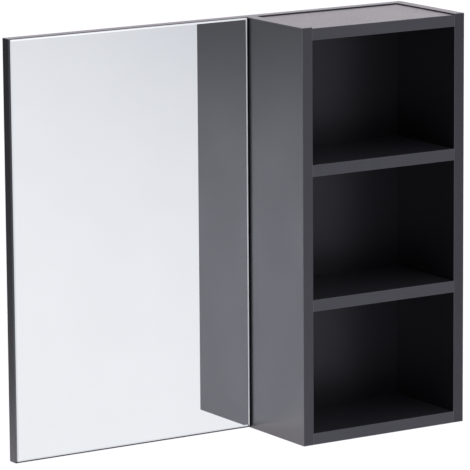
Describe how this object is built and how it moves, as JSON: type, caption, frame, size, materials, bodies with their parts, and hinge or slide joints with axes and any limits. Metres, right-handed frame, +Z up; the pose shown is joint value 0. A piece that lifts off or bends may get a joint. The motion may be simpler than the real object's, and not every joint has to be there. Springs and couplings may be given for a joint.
{
  "type": "bathroom wall mirror with open shelf box",
  "caption": "Wall-hung frameless mirror taped to a dark melamine back board, with an open box of shelves beside it for toiletries.",
  "frame": {"origin": "on the wall face, midway between the round entries of the two keyhole hanger plates", "axes": "+Z up, +Y out of the back towards the wall, so -Y faces the room, +X to the right as seen from the room, towards the shelf box"},
  "size_m": [0.6, 0.145, 0.54],
  "materials": {
    "melamine_board": "anthracite melamine-faced chipboard, satin, fine pore texture",
    "edge_band": "anthracite edge band, satin",
    "mirror_glass": "silvered float glass, narrow bevel, ground edges",
    "foam_tape": "white foam tape",
    "dowel_wood": "plain beech",
    "zinc_plate": "zinc-plated steel",
    "cast_zinc": "die-cast zinc, matt",
    "screw_steel": "yellow zinc-plated steel"
  },
  "bodies": {
    "root": {"back_board": "melamine_board", "board_band_left": "edge_band", "board_band_right": "edge_band", "board_band_top": "edge_band", "board_band_bottom": "edge_band", "mirror_glass": "mirror_glass", "mirror_tapes": "foam_tape", "left_side_panel": "melamine_board", "right_side_panel": "melamine_board", "left_side_front_band": "edge_band", "right_side_front_band": "edge_band", "side_top_bands": "edge_band", "side_bottom_bands": "edge_band", "top_panel": "melamine_board", "upper_shelf": "melamine_board", "lower_shelf": "melamine_board", "bottom_panel": "melamine_board", "top_panel_band": "edge_band", "upper_shelf_band": "edge_band", "lower_shelf_band": "edge_band", "bottom_panel_band": "edge_band", "dowels": "dowel_wood", "cam_bolts": "zinc_plate", "cam_locks": "cast_zinc", "box_screws": "screw_steel", "hanger_plate_left": "zinc_plate", "hanger_plate_right": "zinc_plate", "hanger_screws": "screw_steel"}
  },
  "joints": []
}
